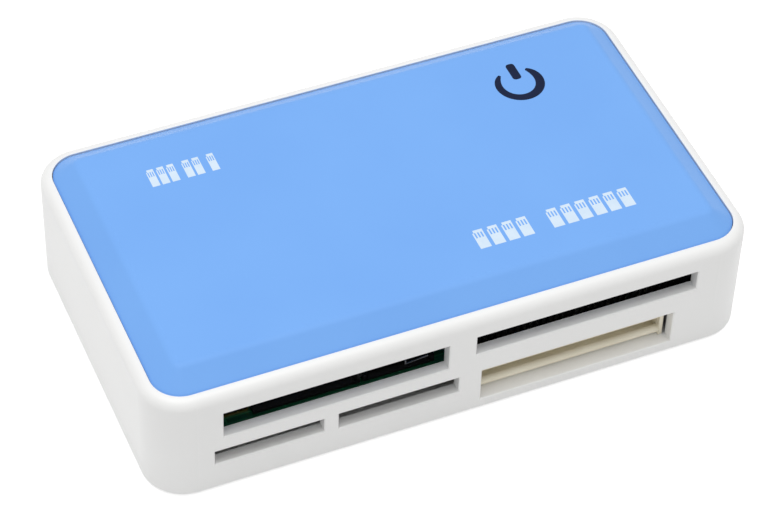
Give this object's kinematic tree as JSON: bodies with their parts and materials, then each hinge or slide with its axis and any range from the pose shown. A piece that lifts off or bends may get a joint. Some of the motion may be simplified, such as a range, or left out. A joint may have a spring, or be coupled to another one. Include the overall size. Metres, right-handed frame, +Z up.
{
  "type": "desktop card reader and port hub",
  "caption": "Palm-sized desktop card reader: a white slotted housing with rounded corners, a raised blue cover, card sockets behind the front slots, and hub ports at the back.",
  "frame": {"origin": "on the surface the feet stand on, below the centre of the housing", "axes": "+X along the long side, to the right of someone who faces the card slots; -Y out of the card slots; +Z up"},
  "size_m": [0.115, 0.0666, 0.0272],
  "materials": {
    "white_abs": "satin moulded",
    "blue_abs": "satin moulded",
    "plated_steel": "zinc plated",
    "black_rubber": "matt",
    "green_board": "solder mask on glass-fibre board",
    "black_nylon": "moulded, glass filled",
    "ivory_nylon": "moulded",
    "white_nylon": "moulded",
    "gold_contacts": "gold flashed",
    "stainless_sheet": "stamped sheet",
    "black_epoxy": "moulded",
    "tinned_leads": "tin plated",
    "tinned_can": "drawn can",
    "aluminium_can": "drawn can",
    "tan_ceramic": "fired ceramic with tinned ends",
    "lamp_lens": "clear lens on a white base"
  },
  "bodies": {
    "root": {"housing": "white_abs", "top_cover": "blue_abs", "case_screws": "plated_steel", "rubber_feet": "black_rubber", "main_board": "green_board", "board_screws": "plated_steel", "wide_card_socket": "black_nylon", "wide_card_pins": "gold_contacts", "thin_card_socket": "ivory_nylon", "thin_card_contacts": "gold_contacts", "main_card_socket": "black_nylon", "main_card_shield": "stainless_sheet", "main_card_contacts": "gold_contacts", "micro_card_socket": "black_nylon", "micro_card_shield": "stainless_sheet", "micro_card_contacts": "gold_contacts", "stick_card_socket": "black_nylon", "stick_card_contacts": "gold_contacts", "small_card_socket": "black_nylon", "small_card_contacts": "gold_contacts", "port_shell_left": "stainless_sheet", "port_shell_middle": "stainless_sheet", "port_shell_right": "stainless_sheet", "port_core_left": "white_nylon", "port_core_middle": "white_nylon", "port_core_right": "white_nylon", "port_contacts": "gold_contacts", "inlet_shell": "stainless_sheet", "inlet_core": "black_nylon", "inlet_contacts": "gold_contacts", "reader_chip": "black_epoxy", "reader_chip_leads": "tinned_leads", "hub_chip": "black_epoxy", "hub_chip_leads": "tinned_leads", "crystal": "tinned_can", "can_capacitors": "aluminium_can", "chip_capacitors": "tan_ceramic", "chip_resistors": "black_epoxy", "regulator": "black_epoxy", "status_lamp": "lamp_lens"}
  },
  "joints": []
}
